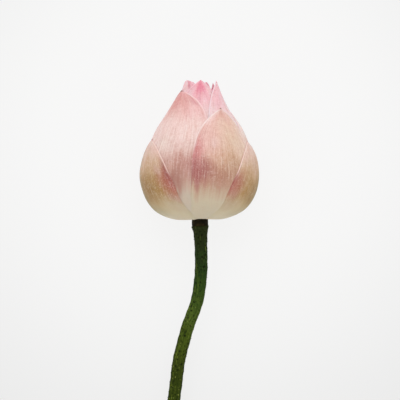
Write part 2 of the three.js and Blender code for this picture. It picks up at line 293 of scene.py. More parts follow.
CUT_RINGS = 34
CUT_EDGE = 0.25  # rounding of the cut's edge
CUT_EDGE_RINGS = 6
CANALS = 7
CANAL_RADIUS = 0.62
CANAL_RING = 2.1
CANAL_DEPTH = 9.0
CANAL_WALL = 0.16  # width over which a canal's wall drops

PRICKLES = 330
PRICKLE_SPARE = (6, 1)  # places of their spiral left empty at collar and cut
PRICKLE_SCATTER = (0.9, 0.3)  # in places of the spiral, and in radians
PRICKLE_HEIGHT = (0.26, 0.5)
PRICKLE_RADIUS = 0.36
PRICKLE_ROOT = 0.12
PRICKLE_LEAN = 0.3
PRICKLE_SIDES = 6
PRICKLE_PROFILE = [(1.0, 0.0), (0.5, 0.4), (0.2, 0.78)]  # radius and height, as shares
PRICKLE_SHADE_SPOT = (0.4, 1.5)  # radius of the dark spot of painted shade round a prickle's root, drawn evenly between these
GOLDEN_ANGLE = math.pi * (3 - math.sqrt(5))

# Colours from the collar to the cut, and the distance by which they fray. The darkest, next to the collar,
# are partly the rind's own colour and partly painted shade of the bud over the stalk's top.
STALK_COLOURS = [
    (0.0, "292c15"), (0.1, "253216"), (0.19, "263d16"), (0.28, "344918"), (0.36, "485a20"),
    (0.45, "435216"), (0.56, "353f10"), (0.7, "313d0d"), (1.0, "3c4a14"),
]
STALK_FRAY = 34.0
STREAK_SCALES = (4.6, 4.6, 0.11)  # of the streaks' noise: twice round the stalk, and along it
# Dark and pale streaks and dark specks: where in the pattern one starts and is full, its strength, colour.
STREAKS = [(0.46, 0.3, 0.75, "1c2a0c"), (0.56, 0.72, 0.5, "78882f")]
DARK_SPECKS = (0.42, 0.33, 0.85, "141a08")
PALE_SPECK_COLOUR = "a4aa58"
PRICKLE_AND_SHADE_COLOUR = "141a06"
CUT_COLOURS = ("a9ad7c", "d3d2ac")


def smoothstep(low, high, value):
    """0 below low, 1 above high, and 3 t^2 - 2 t^3 between, where t is the share of the way."""
    t = np.clip((value - low) / (high - low), 0, 1)
    return t * t * (3 - 2 * t)


def tube_faces(rows, columns):
    """Quads between the rings of a grid whose rings close on themselves, wound so that the faces look out
    where the columns run anticlockwise as seen against the run of the rows."""
    row, column = np.meshgrid(np.arange(rows - 1), np.arange(columns), indexing="ij")
    here, beside = row * columns + column, row * columns + (column + 1) % columns
    return np.stack([here, beside, beside + columns, here + columns], -1).reshape(-1, 4).tolist()


def fan_faces(ring, centre):
    """Triangles from each side of a ring of point numbers to a centre point."""
    return [(here, beside, centre) for here, beside in zip(ring, [*ring[1:], ring[0]])]


def closed_tube_faces(rows, columns):
    """The faces of a tube, and fans from its last ring and its first one to the two points after its own."""
    count = rows * columns
    last, first = range(count - columns, count), range(columns - 1, -1, -1)
    return tube_faces(rows, columns) + fan_faces(last, count) + fan_faces(first, count + 1)


def full_turn(count):
    """Evenly spaced angles round a full turn."""
    return np.linspace(0, 2 * np.pi, count, endpoint=False)


def from_nearest(x, y, count, ring):
    """How far each place is from the nearest of some points: a ring of count of them and its middle."""
    turns = np.arange(count) * 2 * math.pi / count
    middles = [(0.0, 0.0), *zip(ring * np.cos(turns), ring * np.sin(turns))]
    return np.min([np.hypot(x - a, y - b) for a, b in middles], axis=0)


def add_piece(name, placed, faces, material, node, fields=None):
    """A smooth mesh from points in the row's frame, in millimetres, which stands for the CAD node of that
    name, if there is one. fields are numbers or vectors of each point, by name, for the material to read."""
    mesh = bpy.data.meshes.new(name)
    mesh.from_pydata((np.asarray(placed).reshape(-1, 3) * MM).tolist(), [], faces)
    mesh.polygons.foreach_set("use_smooth", np.ones(len(mesh.polygons), bool))
    for field, values in (fields or {}).items():
        kind, key = ("FLOAT_VECTOR", "vector") if values.ndim == 2 else ("FLOAT", "value")
        mesh.attributes.new(field, kind, "POINT").data.foreach_set(key, values.astype(np.float32).ravel())
    mesh.materials.append(material)
    mesh.update()
    piece = bpy.data.objects.new(name, mesh)
    bpy.context.scene.collection.objects.link(piece)
    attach(piece, "root")
    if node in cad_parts:
        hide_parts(node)


stalk_line = smooth_line(STALK_LINE)
stalk_along = distances_along(stalk_line)
stalk_slope = np.gradient(stalk_line, stalk_along, axis=0)


def beside_stalk(along, angle, out, ahead=0.0):
    """Points beside the stalk: its centreline at a distance along it, then out at an angle round it, where
    angle 0 is the side and a quarter turn is the back, then ahead in the stalk's direction."""
    side, height, slope_side, slope_height = (
        np.interp(along, stalk_along, values) for values in (*stalk_line.T, *stalk_slope.T)
    )
    reach = out * np.cos(angle)
    x = side + reach * slope_height + ahead * slope_side
    z = height - reach * slope_side + ahead * slope_height
    return np.stack(np.broadcast_arrays(x, out * np.sin(angle), z), -1)


def stalk_radius(along, angle):
    """The stalk's radius: its plain one with the rind, a flare to the lip that falls off as
    exp(-distance / length), less a quicker one that rounds the lip, and sine waves round it (ribs, slowly
    turning) and along it (lumps)."""
    flare = (LIP_RADIUS - STALK_RADIUS) * np.exp(-along / FLARE_LENGTH)
    radius = STALK_RADIUS + RIND + flare - (LIP_RADIUS - COLLAR_RADIUS) * 2 * np.exp(-along / LIP_ROUNDING)
    for number, height, phase in RIBS:
        radius = radius + height * np.sin(number * angle + phase + along / RIB_TURN)
    for length, height, number, phase in LUMPS:
        radius = radius + height * np.sin(2 * np.pi * along / length + number * angle + phase)
    return radius


def canal_depth(out, angle):
    """How deep the cut face lies: the canals' depth inside a canal's wall, and 0 outside it."""
    nearest = from_nearest(out * np.cos(angle), out * np.sin(angle), CANALS, CANAL_RING)
    return CANAL_DEPTH * (1 - smoothstep(CANAL_RADIUS - CANAL_WALL, CANAL_RADIUS, nearest))


def stalk_fields(along, angle, kind):
    """What the rind's material reads: the cosine and sine of the angle round the stalk, the distance along
    it, and the kind of place: 0 on the rind, down to -1 in the painted shade round a prickle's root and all
    over the prickle, 1 on the cut."""
    return np.stack(np.broadcast_arrays(np.cos(angle), np.sin(angle), along, kind), -1)


def prickle_places():
    """The prickles' distances along the stalk and angles round it, on a golden-angle spiral with a little
    scatter, their heights, and the radii of the spots of painted shade round their roots."""
    scatter = np.random.default_rng(11)
    number = np.arange(PRICKLES)
    moved, turned = (scatter.uniform(-most, most, PRICKLES) for most in PRICKLE_SCATTER)
    along = (number + PRICKLE_SPARE[0] + moved) / (PRICKLES + sum(PRICKLE_SPARE)) * stalk_along[-1]
    height, shade_spot_radius = (scatter.uniform(*limits, PRICKLES) for limits in (PRICKLE_HEIGHT, PRICKLE_SHADE_SPOT))
    return along, number * GOLDEN_ANGLE + turned, height, shade_spot_radius


def prickle_shade_spots(along, angle):
    """How deep each place lies in a prickle's spot of painted shade: 1 at the root, falling smoothly to 0 at
    the spot's radius.
    """
    nearest = np.full(np.broadcast_shapes(along.shape, angle.shape), np.inf)
    for root_along, root_angle, _, radius in zip(*prickle_places()):
        beside = STALK_RADIUS * ((angle - root_angle + np.pi) % (2 * np.pi) - np.pi)
        np.minimum(nearest, np.hypot(along - root_along, beside) / radius, out=nearest)
    return 1 - smoothstep(0, 1, nearest)


def stalk_rings():
    """The stalk's rings: down its side, round the cut's edge, and over the cut face towards its middle."""
    angle = full_turn(STALK_COLUMNS)[None, :]
    length = stalk_along[-1]
    along = np.linspace(0, length - CUT_EDGE, STALK_ROWS)[:, None]
    side = beside_stalk(along, angle, stalk_radius(along, angle))
    bend = np.linspace(0, np.pi / 2, CUT_EDGE_RINGS)[1:, None]
    edge_along = length - CUT_EDGE + CUT_EDGE * np.sin(bend)
    rim = stalk_radius(length, angle)
    edge = beside_stalk(edge_along, angle, rim - CUT_EDGE * (1 - np.cos(bend)))
    out = np.linspace(1, 0, CUT_RINGS, endpoint=False)[1:, None] * (rim - CUT_EDGE)
    face = beside_stalk(length, angle, out, -canal_depth(out, angle))
    fields = [
        stalk_fields(along, angle, -prickle_shade_spots(along, angle)), stalk_fields(edge_along, angle, 0.0),
        stalk_fields(length + 0 * out, angle, 1.0),
    ]
    return np.concatenate([side, edge, face]), np.concatenate(fields)


def prickle_points():
    """The prickles: small hooked cones. Each has three rings and a tip, its radius and height from
    PRICKLE_PROFILE, and leans towards the bud."""
    along, angle, height, _ = prickle_places()
    foot = (stalk_radius(along, angle) - PRICKLE_ROOT)[:, None, None]
    along, angle, height = (values[:, None, None] for values in (along, angle, height))
    turn = full_turn(PRICKLE_SIDES)
    radius, share = np.array([*PRICKLE_PROFILE, (0.0, 1.0)]).T[:, :, None]
    rise = share * (height + PRICKLE_ROOT)
    ahead = radius * PRICKLE_RADIUS * np.sin(turn) - PRICKLE_LEAN * rise
    round_stalk = angle + radius * PRICKLE_RADIUS * np.cos(turn) / foot
    points = beside_stalk(along + ahead, round_stalk, foot + rise)
    fields = stalk_fields(along, round_stalk, -1.0)
    last = len(PRICKLE_PROFILE) * PRICKLE_SIDES + 1
    return points.reshape(PRICKLES, -1, 3)[:, :last], fields.reshape(PRICKLES, -1, 4)[:, :last]


def stalk_skin():
    """Dull dark green rind, more olive past the first bend and darkest next to the collar, where it is partly
    painted shade of the bud, with long dark and pale streaks, dark specks, pale ones past the bend, dark
    prickles in frayed dark spots of painted shade, and a pale spongy cut. The streaks are noise stretched
    along the stalk."""
    material, add = new_material("stalk_rind")
    cosine, sine, along = add("SeparateXYZ", {0: add("Attribute", attribute_name="round_stalk")["Vector"]})
    kind = field(add, "cut_prickle_or_shade")
    scaled = zip((cosine, sine, along), STREAK_SCALES)
    place = add("CombineXYZ", {i: times(add, value, scale) for i, (value, scale) in enumerate(scaled)})[0]
    streaks = noise(add, place, 1.0, 4.0, 0.6)
    coords = add("TexCoord")["Object"]
    mottle = noise(add, coords, 260.0, 3.0, 0.6)
    specks = noise(add, coords, 900.0, 2.0, 0.6)
    shift = times(add, plus(add, mottle, -0.5), STALK_FRAY)
    run = times(add, plus(add, along, shift), 1 / float(stalk_along[-1]))
    skin = ramp(add, run, STALK_COLOURS)
    for pattern, (start, full, strength, code) in zip((streaks, streaks, specks), (*STREAKS, DARK_SPECKS)):
        skin = mixed(add, faded(add, pattern, start, full, strength), skin, colour(code))
    pale = times(add, faded(add, specks, 0.66, 0.73), faded(add, run, 0.2, 0.5, 0.7, 0.1))
    skin = mixed(add, pale, skin, colour(PALE_SPECK_COLOUR))
    # the prickles' own dark colour, and the painted shade round their roots, frayed by the specks
    frayed = plus(add, kind, times(add, plus(add, specks, -0.5), 1.5))
    skin = mixed(add, faded(add, frayed, -0.35, -0.85, 0.85), skin, colour(PRICKLE_AND_SHADE_COLOUR))
    spongy = mixed(add, specks, *map(colour, CUT_COLOURS))
    skin = mixed(add, faded(add, kind, 0.4, 0.9), skin, spongy)
    surface(add, skin, 0.7, 0.04, plus(add, streaks, times(add, specks, 0.5)), 0.7, 0.25)
    return material


def stalk_piece():
    """The stalk in one mesh: its closed tube, the cut's middle and the top's middle, then the prickles."""
    rings, ring_fields = stalk_rings()
    prickles, prickle_fields = prickle_points()
    count = rings.shape[0] * STALK_COLUMNS
    middles = np.stack([beside_stalk(stalk_along[-1], 0.0, 0.0, -CANAL_DEPTH), beside_stalk(0.0, 0.0, 0.0)])
    middle_fields = np.stack([stalk_fields(stalk_along[-1], 0.0, 1.0), stalk_fields(0.0, 0.0, 0.0)])
    faces = closed_tube_faces(rings.shape[0], STALK_COLUMNS)
    tip = len(PRICKLE_PROFILE) * PRICKLE_SIDES
    one = tube_faces(len(PRICKLE_PROFILE), PRICKLE_SIDES) + fan_faces(range(tip - PRICKLE_SIDES, tip), tip)
    one += [tuple(range(PRICKLE_SIDES - 1, -1, -1))]
    for first in range(count + 2, count + 2 + PRICKLES * (tip + 1), tip + 1):
        faces += [tuple(first + i for i in face) for face in one]
    fields = np.concatenate([part.reshape(-1, 4) for part in (ring_fields, middle_fields, prickle_fields)])
    points = lay_down(np.concatenate([part.reshape(-1, 3) for part in (rings, middles, prickles)]))
    points[:, 2] = kept_above(points[:, 2], 0)
    add_piece("stalk", points, faces, stalk_skin(), "stem",
              {"round_stalk": fields[:, :3], "cut_prickle_or_shade": fields[:, 3]})


stalk_piece()

# ---- receptacle ----
# The flower's base, one spongy growth: a dull brown collar that shows between the stalk and the petals, the
# neck that carries the petals, and above it, inside the bud, the young seed pod with its carpels.

COLLAR_EDGE = 0.4
POD_FOOT = 22.0  # height where the pod starts, above the petals' claws
POD_TOP = 40.0
POD_FOOT_RADIUS = 5.7
POD_RADIUS = 9.5
POD_EDGE = 0.9
POD_TOP_RINGS = 30
CARPELS = 8  # in a ring on the pod's top, round a middle one
CARPEL_RADIUS = 1.1
CARPEL_RING = 5.9
RECEPTACLE_COLUMNS = 96
WRINKLES = [(17, 0.07, 0.3), (29, 0.05, 2.2), (41, 0.03, 4.0)]  # number round the collar, height, phase
COLLAR_COLOURS = [(0.3, "0e0b04"), (0.55, "1f1808"), (0.75, "3a2c12")]
POD_COLOURS = [(0.3, "9c9a4a"), (0.7, "c8c272")]


def receptacle_points():
    """The receptacle's rings: a profile of radius and height turned round the axis. Sine waves wrinkle the
    collar, and on the pod's top each carpel adds the height of half a ball over its middle."""
    profile = np.array([
        [COLLAR_RADIUS - COLLAR_EDGE, -COLLAR_HEIGHT], [COLLAR_RADIUS - 0.1, -COLLAR_HEIGHT + 0.1],
        [COLLAR_RADIUS, -COLLAR_HEIGHT + COLLAR_EDGE], [COLLAR_RADIUS, -2.2], [COLLAR_RADIUS, -COLLAR_EDGE],
        [RECEPTACLE_RADIUS, 0], [RECEPTACLE_RADIUS, 8], [RECEPTACLE_RADIUS, POD_FOOT - 1],
        [POD_FOOT_RADIUS, POD_FOOT + 1], [POD_RADIUS - 0.5, POD_TOP - 5], [POD_RADIUS, POD_TOP - POD_EDGE],
        [POD_RADIUS - POD_EDGE, POD_TOP],
    ])
    line = smooth_line(profile, per_span=8)
    inwards = np.linspace(1, 0, POD_TOP_RINGS, endpoint=False)[1:]
    top = np.stack([(POD_RADIUS - POD_EDGE) * inwards, np.full(len(inwards), POD_TOP)], -1)
    radius, height = np.vstack([line, top]).T[:, :, None]
    angle = full_turn(RECEPTACLE_COLUMNS)[None, :]
    on_collar = 1 - smoothstep(-COLLAR_EDGE, 0.5, height)
    for number, size, phase in WRINKLES:
        radius = radius + on_collar * size * (np.sin(number * angle + phase + height) - 1)
    x, y = radius * np.cos(angle), radius * np.sin(angle)
    nearest = from_nearest(x, y, CARPELS, CARPEL_RING)
    bump = np.sqrt(np.maximum(0, CARPEL_RADIUS**2 - nearest**2)) * (height > POD_TOP - 0.01)
    return np.stack([x, y, height + bump], -1)


def receptacle_skin():
    """Dark brown, wrinkled collar, passing into a yellow green pod."""
    material, add = new_material("receptacle_tissue")
    coords = add("TexCoord")["Object"]
    blotches = noise(add, coords, 500.0, 4.0, 0.6)
    collar, pod = ramp(add, blotches, COLLAR_COLOURS), ramp(add, blotches, POD_COLOURS)
    skin = mixed(add, faded(add, field(add, "height"), 0.5, 3.0), collar, pod)
    surface(add, skin, 0.75, 0.1, blotches, 0.6, 0.3)
    return material


def receptacle_piece():
    """The receptacle in one mesh, closed by a fan at the bottom and one at the top."""
    rings = receptacle_points()
    middles = [(0, 0, POD_TOP + CARPEL_RADIUS), (0, 0, -COLLAR_HEIGHT)]
    points = np.concatenate([rings.reshape(-1, 3), middles])
    faces = closed_tube_faces(rings.shape[0], RECEPTACLE_COLUMNS)
    add_piece("seed_pod_and_collar", lay_down(points), faces, receptacle_skin(), "receptacle",
              {"height": points[:, 2]})


receptacle_piece()

# ---- stamens ----
# A brush of fine yellow stamens round the seed pod, hidden in the bud: each a thin filament that carries a
# thicker anther, all fused to a low ring at the pod's foot.

STAMENS = 108
STAMEN_LENGTHS = (17.0, 18.2, 19.4)  # in turn round the ring
STAMEN_LEAN = 0.3  # outwards, in radians
STAMEN_RINGS = (0.4, 1.1, 1.8)  # how far from the ring's inner side they stand, in turn
STAMEN_RING_WIDTH = 2.2
STAMEN_RING_HEIGHT = 1.0
STAMEN_RING_ROWS = 72
STAMEN_SIDES = 5
# Filament and anther, as radius and share of the length.
STAMEN_PROFILE = [(0.16, 0.0), (0.16, 0.45), (0.2, 0.5), (0.36, 0.56), (0.36, 0.9), (0.12, 1.0)]
STAMEN_COLOURS = [(0.3, "cf9f35"), (0.6, "e6c25e"), (0.8, "f0dc92")]


def stamen_points():
    """The stamens as tubes: radius and share of the length from STAMEN_PROFILE, turned outwards by the lean
    and then to their place round the axis. Neighbours differ in length and distance from the pod."""
    number = np.arange(STAMENS)[:, None, None]
    length = np.take(STAMEN_LENGTHS, number % 3)
    inside = POD_FOOT_RADIUS + CLEARANCE + np.take(STAMEN_RINGS, (number * 2) % 3)
    radius, share = np.array(STAMEN_PROFILE).T[:, None, :, None]
    turn = full_turn(STAMEN_SIDES)
    across, beside, up = radius * np.cos(turn), radius * np.sin(turn), share * length
    out = inside + across * math.cos(STAMEN_LEAN) + up * math.sin(STAMEN_LEAN)
    height = POD_FOOT - 1.5 * STAMEN_RING_HEIGHT - across * math.sin(STAMEN_LEAN) + up * math.cos(STAMEN_LEAN)
    place = 2 * np.pi * number / STAMENS
    x, y = out * np.cos(place) - beside * np.sin(place), out * np.sin(place) + beside * np.cos(place)
    return np.stack([x, y, height + 0 * x], -1)


def stamen_skin():
    """Matt yellow, mottled paler and deeper by fine grains."""
    material, add = new_material("stamen_yellow")
    grains = noise(add, add("TexCoord")["Object"], 2200.0, 3.0, 0.6)
    surface(add, ramp(add, grains, STAMEN_COLOURS), 0.8, 0.2, grains, 0.6, 0.1)
    return material


def stamens_piece():
    """The stamens and their ring in one mesh. The ring is a square section carried once round the axis, whose
    last row of faces joins the first by the remainder of the point numbers."""
    tubes = stamen_points().reshape(-1, 3)
    each = len(STAMEN_PROFILE) * STAMEN_SIDES
    one = tube_faces(len(STAMEN_PROFILE), STAMEN_SIDES)
    one += [tuple(range(STAMEN_SIDES - 1, -1, -1)), tuple(range(each - STAMEN_SIDES, each))]
    faces = [tuple(first + i for i in face) for first in range(0, len(tubes), each) for face in one]
    inner = POD_FOOT_RADIUS + CLEARANCE
    low, high = POD_FOOT - 2 * STAMEN_RING_HEIGHT, POD_FOOT - STAMEN_RING_HEIGHT
    radius, height = np.array([
        [inner, low], [inner, high], [inner + STAMEN_RING_WIDTH, high], [inner + STAMEN_RING_WIDTH, low],
    ]).T
    angle = full_turn(STAMEN_RING_ROWS)[:, None]
    ring = np.stack([radius * np.cos(angle), radius * np.sin(angle), height + 0 * angle], -1).reshape(-1, 3)
    ring_faces = np.array(tube_faces(STAMEN_RING_ROWS + 1, len(radius))) % len(ring)
    faces += (ring_faces + len(tubes)).tolist()
    points = np.concatenate([tubes, ring])
    add_piece("stamen_brush", lay_down(points), faces, stamen_skin(), "stamens")


stamens_piece()

# ---- sheath petals ----
# The seven outer petals, which wrap the bud in layers: thin satin blades with fine veins, cream at the claw,
# olive tan midway along, and pink towards the tip and the rims. Each grows from the neck by a narrow claw.
# The outermost are laid first here, and each next one lies under those before it.

BLADE_THICKNESS = 0.42
RIM_THICKNESS = 0.18
RIM_DROP = 0.34  # how far the outer face falls to the petal below at the rim
RIM_WIDTH = 2.2  # over which it falls
LAYER_STEP = 0.62  # from one petal's outer face to the next one's
PRESSED = (25, 50)  # distances along the bud between which the step grows to its full size
PRESSED_SHARE = 0.4  # share of the step that is left near the claws
PRINT = (0.5, 14.0)  # distances past a petal's rim between which its print below fades out
BUD_LEAN = 0.3  # how far the bud stands to the left of its neck
LEAN_FROM = (2, 15)  # heights between which that sets in
CLAW = 0.02  # share of the length by which the narrow claw is cut short
WIDEST_ANGLE = math.radians(84)
ANGLE_POWER = 6  # how sharply the half angle bends to the widest one
TURN_POWER = 8  # how late the tip's turn sets in, unless the petal says otherwise
FLARE_POWER = 12  # how late its flare does
TIP_GAP = 0.04  # distance of the last ring from the tip
TO_TIP_POWER = 1.5  # how much nearer each other the rings lie towards the tip
PETAL_GRID = (150, 96)  # columns across each face, and rings
SMALL_GRID = (80, 60)
INNER_GRID = (64, 50)
RIM_POINTS = 110  # on each side
SAG = (0.8, 17.0, 11.0)  # of the bud's left side: its height, how far along it is, and its length
# Swells: number round, height, phase, length.
SWELLS = [(2, 0.16, 0.9, 31.0), (3, 0.12, 2.4, 23.0), (5, 0.08, 4.4, 17.0)]
SWELLS_RISE = (6, 30)  # distances along the bud between which they set in
SWELLS_DIE = (80, 100)
VEINS = [(19, 0.008, 0.3), (43, 0.006, 1.9)]  # number across, height, phase

# Patterns of the skin. Those drawn out along the veins have a scale across, a scale along and a detail.
BROAD = (6.0, 1.6, 2.0)
FINE = (34.0, 3.2, 3.0)
THREADS = (62.0, 13.0, 2.0)
FRAY = (0.14, 0.1)  # how far the broad and the fine ones move the colours, as shares of the length
MOTTLE_SCALE = 420.0
GRAIN_SCALE = 1500.0
PATTERN_STEP = 7.3  # between two petals' places in the patterns
# How much the last four darken the skin and lighten it.
MARKINGS = [(0.18, 0.12), (0.27, 0.22), (0.16, 0.12), (0.18, 0.22)]
MARKED_FROM = (0.36, 0.54)  # shares of the length between which the marks set in
MARK_COLOUR = "dcb9ae"
MARK_LIGHT_COLOUR = "fff2ea"
# A painted highlight along the upper rims, where the thin edge catches the light: its strength, where it sets
# in, its width and its colour.
RIM_HIGHLIGHT = 0.85
RIM_HIGHLIGHT_FROM = (0.62, 0.74)  # likewise for the painted rim highlight
RIM_HIGHLIGHT_WIDTH = 1.0
RIM_HIGHLIGHT_COLOUR = "ffe6e0"
SPECK_COLOUR = "84504a"
INNER_FACE_COLOUR = "f9b2c6"

laid_petals = []


def half_angle(petal, along):
    """Half the angle that a petal spans: its half width, half_width sin(pi share) ** point, narrowed near
    the tip by (d / hypot(d, sharp)) ** keen at distance d from it, over the radius there, and bent to stay
    under the widest angle."""
    share = np.clip(along / petal["length"], 0, 1)
    to_tip = petal["length"] * (1 - share)
    width = petal["half_width"] * np.sin(np.pi * (CLAW + (1 - CLAW) * share)) ** petal["point"]
    width = width * (to_tip / np.hypot(to_tip, petal["sharp"])) ** petal.get("keen", 1)
    angle = width / np.interp(along, petal["outline"]["along"], petal["outline"]["radius"])
    return angle / (1 + (angle / WIDEST_ANGLE) ** ANGLE_POWER) ** (1 / ANGLE_POWER)


def middle_azimuth(petal, along):
    """Azimuth of a petal's middle line, in radians. It turns by tip_turn degrees up to the tip, as a power
    of the share of the length."""
    share = np.clip(along / petal["length"], 0, 1)
    turn = petal.get("tip_turn", 0) * share ** petal.get("turn_power", TURN_POWER)
    return np.radians(petal["azimuth"] + turn)


def on_outline(outline, azimuth, along, depth=0.0):
    """Points at an azimuth and a distance along an outline, sunk in by a depth against the outward normal.
    Azimuth 0 is the bud's front and a quarter turn its right."""
    radius, height, normal_radius, normal_height = (
        np.interp(along, outline["along"], outline[name])
        for name in ("radius", "height", "normal_radius", "normal_height")
    )
    radius, height = radius - depth * normal_radius, height - depth * normal_height
    side = radius * np.sin(azimuth) - BUD_LEAN * smoothstep(*LEAN_FROM, height)
    return np.stack(np.broadcast_arrays(side, -radius * np.cos(azimuth), height), -1)


def distance_to_line(points, line):
    """Shortest distance from each point to a line's segments: to its foot on the segment, kept within it."""
    flat = points.reshape(-1, 3)
    shortest = np.full(len(flat), np.inf)
    for start, end in zip(line[:-1], line[1:]):
        step = end - start
        share = np.clip((flat - start) @ step / (step @ step), 0, 1)
        apart = flat - start - share[:, None] * step
        np.minimum(shortest, np.einsum("ij,ij->i", apart, apart), out=shortest)
    return np.sqrt(shortest).reshape(points.shape[:-1])


def rim_line(petal):
    """A petal's rim on the outline: up its left side to the tip and down its right side."""
    up = petal["length"] * (1 - (1 - np.linspace(0, 1, RIM_POINTS)) ** TO_TIP_POWER)
    along, side = np.concatenate([up, up[-2::-1]]), np.repeat([-1, 1], [RIM_POINTS, RIM_POINTS - 1])
    return on_outline(petal["outline"], middle_azimuth(petal, along) + side * half_angle(petal, along), along)


def cover(petal, azimuth, along):
    """How much a laid petal covers each place: 1 under it, falling smoothly to 0 past its rim."""
    turn = azimuth - middle_azimuth(petal, along)
    turn = np.arctan2(np.sin(turn), np.cos(turn))
    under = (np.abs(turn) < half_angle(petal, along)) & (along < petal["length"])
    place = on_outline(petal["outline"], azimuth, along)
    return np.where(under, 1.0, 1 - smoothstep(*PRINT, distance_to_line(place, petal["rim"])))


def swell(azimuth, along):
    """Gentle hollows and swells of the whole bud, shared by all petals: sine waves round it and along it,
    which die out at the base and the top, and a sag on the left, exp(-(distance / length) ** 2) along it."""
    rise = 0
    for number, height, phase, length in SWELLS:
        wave = np.sin(2 * np.pi * along / length + 2 * phase)
        rise = rise + height * np.sin(number * azimuth + phase) * wave
    rise = rise * smoothstep(*SWELLS_RISE, along) * (1 - smoothstep(*SWELLS_DIE, along))
    height, middle, length = SAG
    return rise + height * smoothstep(0, 1, -np.sin(azimuth)) * np.exp(-((along - middle) / length) ** 2)


def petal_blade(petal, columns, rows):
    """A petal's closed rings, each across the outer face from left to right and back across the inner one,
    with the rings nearer each other to the tip and the columns to the rims. The blade lies under the petals
    laid before it, by one step for each, and thins to its rim, where the outer face falls to the petal
    below. Near the claws the petals are pressed together, so that the step is smaller."""
    across = np.sin(np.linspace(-np.pi / 2, np.pi / 2, columns))[None, :]
    up = 1 - (1 - np.linspace(0, 1, rows)) ** TO_TIP_POWER
    along = ((petal["length"] - TIP_GAP) * up)[:, None]
    azimuth = middle_azimuth(petal, along) + across * half_angle(petal, along)
    rim = distance_to_line(on_outline(petal["outline"], azimuth, along), petal["rim"])
    step = LAYER_STEP * (PRESSED_SHARE + (1 - PRESSED_SHARE) * smoothstep(*PRESSED, along))
    depth = sum((cover(outer, azimuth, along) for outer in laid_petals), np.zeros(azimuth.shape)) * step
    depth = depth - swell(azimuth, along) - petal.get("flare", 0) * (along / petal["length"]) ** FLARE_POWER
    full = smoothstep(0, RIM_WIDTH, rim)
    outer = RIM_DROP * (1 - full)
    for number, height, phase in VEINS:
        outer = outer + height * full * (1 - np.sin(number * across * np.pi + phase))
    inner = RIM_DROP + RIM_THICKNESS + (BLADE_THICKNESS - RIM_DROP - RIM_THICKNESS) * full
    rings = []
    for sunk in (outer, inner):
        points = lay_down(on_outline(petal["outline"], azimuth, along, depth + sunk))
        level = (0 if petal.get("rests") else depth) + sunk
        points[..., 2] = kept_above(points[..., 2], level)
        rings.append(points)
    points = np.concatenate([rings[0], rings[1][:, ::-1]], 1)
    share, to_tip = along / petal["length"], petal["length"] - along
    fields = np.stack(np.broadcast_arrays(across, share, rim, to_tip), -1)
    fields = np.concatenate([fields, fields[:, ::-1]], 1)
    inside = np.repeat([[0.0, 1.0]], columns, 1).reshape(1, -1) + 0 * fields[..., 0]
    return points, fields, inside


def petal_skin(name, petal, seed):
    """A petal's skin. Its colour runs along the blade by a ramp, frayed by noise drawn out along the veins,
    with soft oval patches laid over it, a few of them painted shade. Then come veins and mottling, a painted
    highlight along the upper rim, a dark speck at the very tip, and a rosier inner face."""
    material, add = new_material(name)
    across, along, rim = add("SeparateXYZ", {0: add("Attribute", attribute_name="blade")["Vector"]})
    to_tip, inner_face = field(add, "to_tip"), field(add, "inner_face")
    coords = add("TexCoord")["Object"]

    def drawn_out(across_scale, along_scale, detail):
        run = {0: times(add, across, across_scale), 1: times(add, along, along_scale), 2: float(seed)}
        return noise(add, add("CombineXYZ", run)[0], 1.0, detail, 0.55)

    broad, fine, threads = drawn_out(*BROAD), drawn_out(*FINE), drawn_out(*THREADS)
    mottle = noise(add, coords, MOTTLE_SCALE, 3.0, 0.6)
    grains = noise(add, coords, GRAIN_SCALE, 2.0, 0.5)
    fray = plus(add, times(add, broad, FRAY[0]), times(add, fine, FRAY[1]))
    shifted = plus(add, along, plus(add, fray, -sum(FRAY) / 2))
    skin = ramp(add, shifted, petal["ramp"])
    place = add("CombineXYZ", {0: across, 1: shifted, 2: 0.0})[0]
    for middle, middle_along, wide, long, strength, code in petal.get("patches", ()):
        apart = add("VectorMath", {0: place, 1: (middle, middle_along, 0.0)}, operation="SUBTRACT")[0]
        apart = add("VectorMath", {0: apart, 1: (1 / wide, 1 / long, 0.0)}, operation="MULTIPLY")[0]
        apart = add("VectorMath", {0: apart}, operation="LENGTH")["Value"]
        skin = mixed(add, faded(add, apart, 1.1, 0.2, strength), skin, colour(code))
    marked = faded(add, along, *MARKED_FROM, 1.0, 0.15)
    for pattern, (shade, light) in zip((fine, threads, mottle, grains), MARKINGS):
        shade = times(add, faded(add, pattern, 0.53, 0.36, shade), marked)
        light = times(add, faded(add, pattern, 0.55, 0.72, light), marked)
        skin = mixed(add, shade, skin, colour(MARK_COLOUR), "MULTIPLY")
        skin = mixed(add, light, skin, colour(MARK_LIGHT_COLOUR))
    # painted highlight along the upper rim, where the thin edge catches the light
    upper = times(add, faded(add, along, *RIM_HIGHLIGHT_FROM), faded(add, to_tip, 0.6, 3.0))
    pale = times(add, faded(add, rim, RIM_HIGHLIGHT_WIDTH, 0.2, RIM_HIGHLIGHT), upper)
    skin = mixed(add, pale, skin, colour(petal.get("rim_highlight_colour", RIM_HIGHLIGHT_COLOUR)))
    reach = petal.get("speck", -1.0)
    speck = faded(add, plus(add, to_tip, times(add, mottle, 0.8)), reach + 0.5, reach, 0.85)
    skin = mixed(add, speck, skin, colour(SPECK_COLOUR))
    rosy = times(add, inner_face, faded(add, along, 0.35, 0.65, 0.8))
    skin = mixed(add, rosy, skin, colour(INNER_FACE_COLOUR))
    relief = plus(add, plus(add, fine, threads), times(add, grains, 0.4))
    surface(add, skin, 0.55, 0.15, relief, 0.5, 0.12, **{
        "Subsurface Weight": petal.get("translucence", 0.25), "Subsurface Radius": (1.0, 0.65, 0.55),
        "Subsurface Scale": 1.5 * MM, "Sheen Weight": 0.04, "Sheen Roughness": 0.5,
    })
    return material


